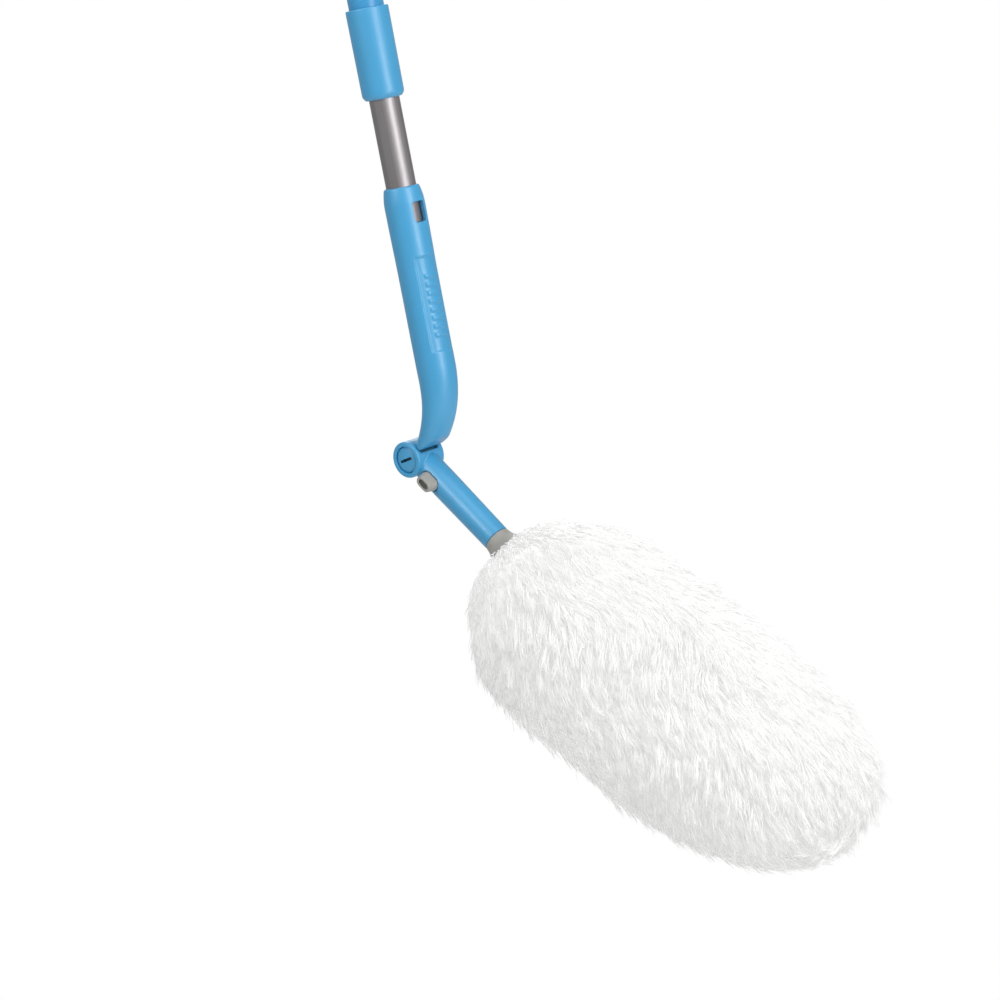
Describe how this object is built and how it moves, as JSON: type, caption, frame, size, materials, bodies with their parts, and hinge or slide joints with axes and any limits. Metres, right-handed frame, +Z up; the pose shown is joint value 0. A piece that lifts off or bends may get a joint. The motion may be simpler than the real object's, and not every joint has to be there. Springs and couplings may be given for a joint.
{
  "type": "feather duster",
  "caption": "Long-reach duster with a telescopic twist-lock pole, a moulded neck, a push-button folding arm and an oval fluffy head.",
  "frame": {"origin": "centre of the hanging hole in the tab at the top of the pole", "axes": "+Z up along the pole towards the hanging tab, +Y along the folding hinge's axis, +X the side that the head leans to"},
  "size_m": [0.3164, 0.139, 0.9876],
  "materials": {
    "blue_plastic": "satin moulded",
    "blue_paint": "satin",
    "grey_plastic": "satin moulded",
    "tube_steel": "fine drawn",
    "white_plastic": "satin moulded",
    "white_fabric": "long soft pile"
  },
  "bodies": {
    "pole": {"hanger_cap": "grey_plastic", "pole_grip": "blue_plastic", "outer_tube": "blue_paint", "collar_ferrule": "white_plastic", "collet": "white_plastic"},
    "collar": {"twist_collar": "blue_plastic"},
    "lower": {"inner_tube": "tube_steel", "tube_end_guide": "white_plastic", "neck_handle": "blue_plastic"},
    "arm": {"arm": "blue_plastic", "pivot_bolt": "blue_plastic", "pivot_nut": "blue_plastic", "pivot_washer": "tube_steel", "pawl_spring": "tube_steel", "spring_seat": "white_plastic"},
    "button": {"lock_button": "grey_plastic"},
    "pawl": {"lock_pawl": "white_plastic"},
    "head": {"head_collar": "grey_plastic", "core_rod": "tube_steel", "core_frame": "white_plastic", "core_tip_cap": "grey_plastic", "sleeve_hem": "white_fabric", "sleeve_backing": "white_fabric", "fluff": "white_fabric"}
  },
  "joints": [
    {"name": "pole_extend", "type": "slide", "parent": "pole", "child": "lower", "axis": [0, 0, -1], "range_m": [-0.052, 0.32]},
    {"name": "collar_twist", "type": "hinge", "parent": "pole", "child": "collar", "pos_m": [0, 0, -0.4575], "axis": [0, 0, 1], "range_deg": [-120, 0]},
    {"name": "arm_tilt", "type": "hinge", "parent": "lower", "child": "arm", "pos_m": [-0.0307, 0, -0.711], "axis": [0, 1, 0], "range_deg": [0, 135]},
    {"name": "button_press", "type": "slide", "parent": "arm", "child": "button", "axis": [0, 1, 0], "range_m": [0, 0.004], "stiffness_N_per_m": 600, "springref_m": -0.002},
    {"name": "pawl_slide", "type": "slide", "parent": "arm", "child": "pawl", "axis": [0.7022, 0, -0.712], "range_m": [0, 0.002], "deforming": ["pawl_spring"]},
    {"name": "head_pull", "type": "slide", "parent": "arm", "child": "head", "axis": [0.7022, 0, -0.712], "range_m": [0, 0.035]}
  ],
  "couplings": [
    {"joint": "pawl_slide", "follows": "button_press", "ratio": 0.5}
  ]
}
